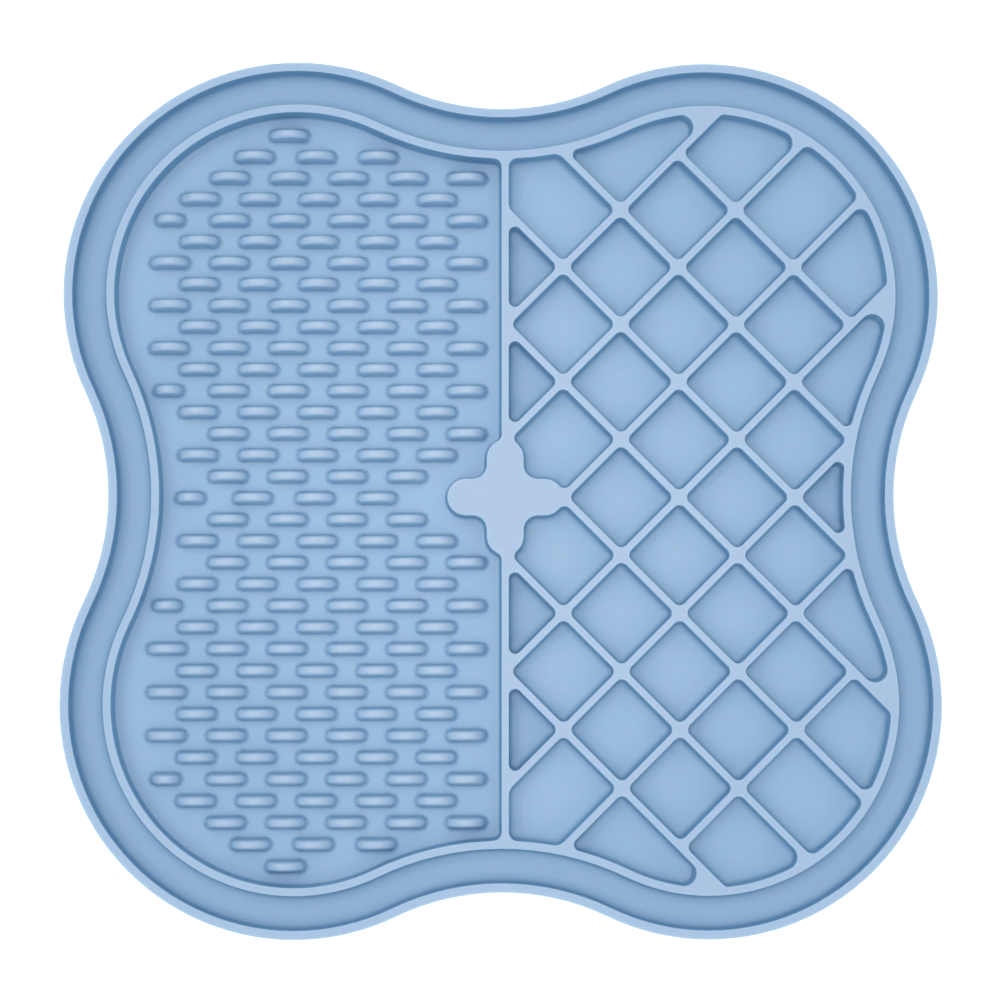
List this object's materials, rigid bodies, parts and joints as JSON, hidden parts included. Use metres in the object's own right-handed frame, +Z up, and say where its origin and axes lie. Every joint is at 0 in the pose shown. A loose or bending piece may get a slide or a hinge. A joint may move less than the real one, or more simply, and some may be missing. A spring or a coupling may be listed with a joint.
{
  "type": "lick mat",
  "caption": "Flat four-lobed moulded silicone pet lick mat: rim wall, moat, a field of oblong nubs on one half and diamond lattice pockets on the other.",
  "frame": {"origin": "centre of the mat's outline at the underside that rests on the floor", "axes": "+Z up out of the open face, +X towards the lattice half, +Y towards the back along the divider wall"},
  "size_m": [0.2, 0.2, 0.0075],
  "materials": {
    "silicone": "light blue food-grade silicone with a satin, finely frosted surface"
  },
  "bodies": {
    "root": {"mat": "silicone"}
  },
  "joints": []
}
